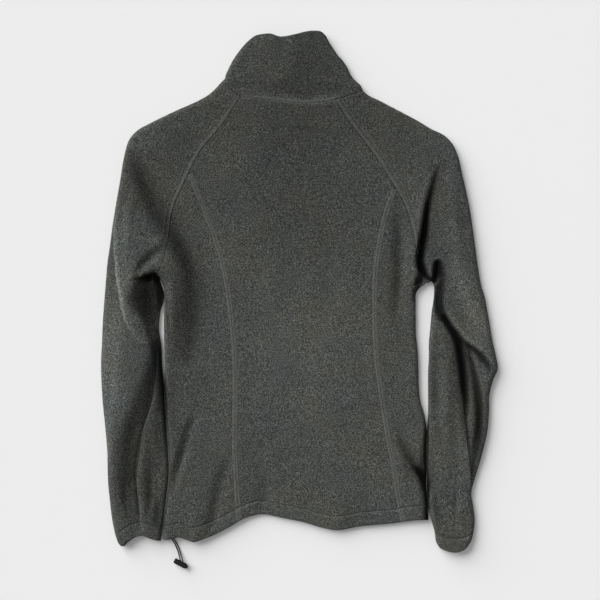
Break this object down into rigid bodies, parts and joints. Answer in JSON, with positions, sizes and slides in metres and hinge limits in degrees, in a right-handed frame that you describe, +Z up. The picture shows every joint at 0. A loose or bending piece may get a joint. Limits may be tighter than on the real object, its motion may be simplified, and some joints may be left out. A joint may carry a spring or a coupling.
{
  "type": "fleece zip jacket",
  "caption": "Fleece zip jacket with a stand collar, raglan sleeves, princess seams and a hem drawcord, laid flat on its front.",
  "frame": {"origin": "on the floor under the middle of the laid-out jacket", "axes": "+X to the right seen from above, which is the wearer's right side; +Y towards the collar; +Z up, out of the back"},
  "size_m": [0.5489, 0.7441, 0.0141],
  "materials": {
    "fleece": "brushed charcoal melange fleece, dull with a soft nap",
    "zip_tape": "black woven polyester tape",
    "zip_teeth": "black moulded teeth and box",
    "zip_metal": "black painted zinc slider and pull tab, slightly glossy",
    "drawcord": "black braided elastic cord",
    "cord_lock": "black moulded plastic, slightly glossy",
    "cord_lock_plunger": "black moulded plastic button, slightly glossy"
  },
  "bodies": {
    "jacket": {"centre_back": "fleece", "side_back_left": "fleece", "side_back_right": "fleece", "front_left": "fleece", "front_right": "fleece", "sleeve_left": "fleece", "sleeve_right": "fleece", "collar": "fleece", "zip_tape_left": "zip_tape", "zip_tape_right": "zip_tape", "zip_chain": "zip_teeth", "zip_box": "zip_teeth", "zip_slider": "zip_metal", "drawcord_1": "drawcord", "drawcord_2": "drawcord", "cord_lock_barrel": "cord_lock"},
    "pull_tab": {"pull_tab": "zip_metal"},
    "plunger": {"cord_lock_plunger": "cord_lock_plunger"}
  },
  "joints": [
    {"name": "pull_tab_swing", "type": "hinge", "parent": "jacket", "child": "pull_tab", "pos_m": [-0.015, 0.338, 0.00275], "axis": [1, 0, 0], "range_deg": [0, 165]},
    {"name": "plunger_press", "type": "slide", "parent": "jacket", "child": "plunger", "axis": [-0.8829, 0.4695, 0], "range_m": [0, 0.002], "stiffness_N_per_m": 200}
  ]
}
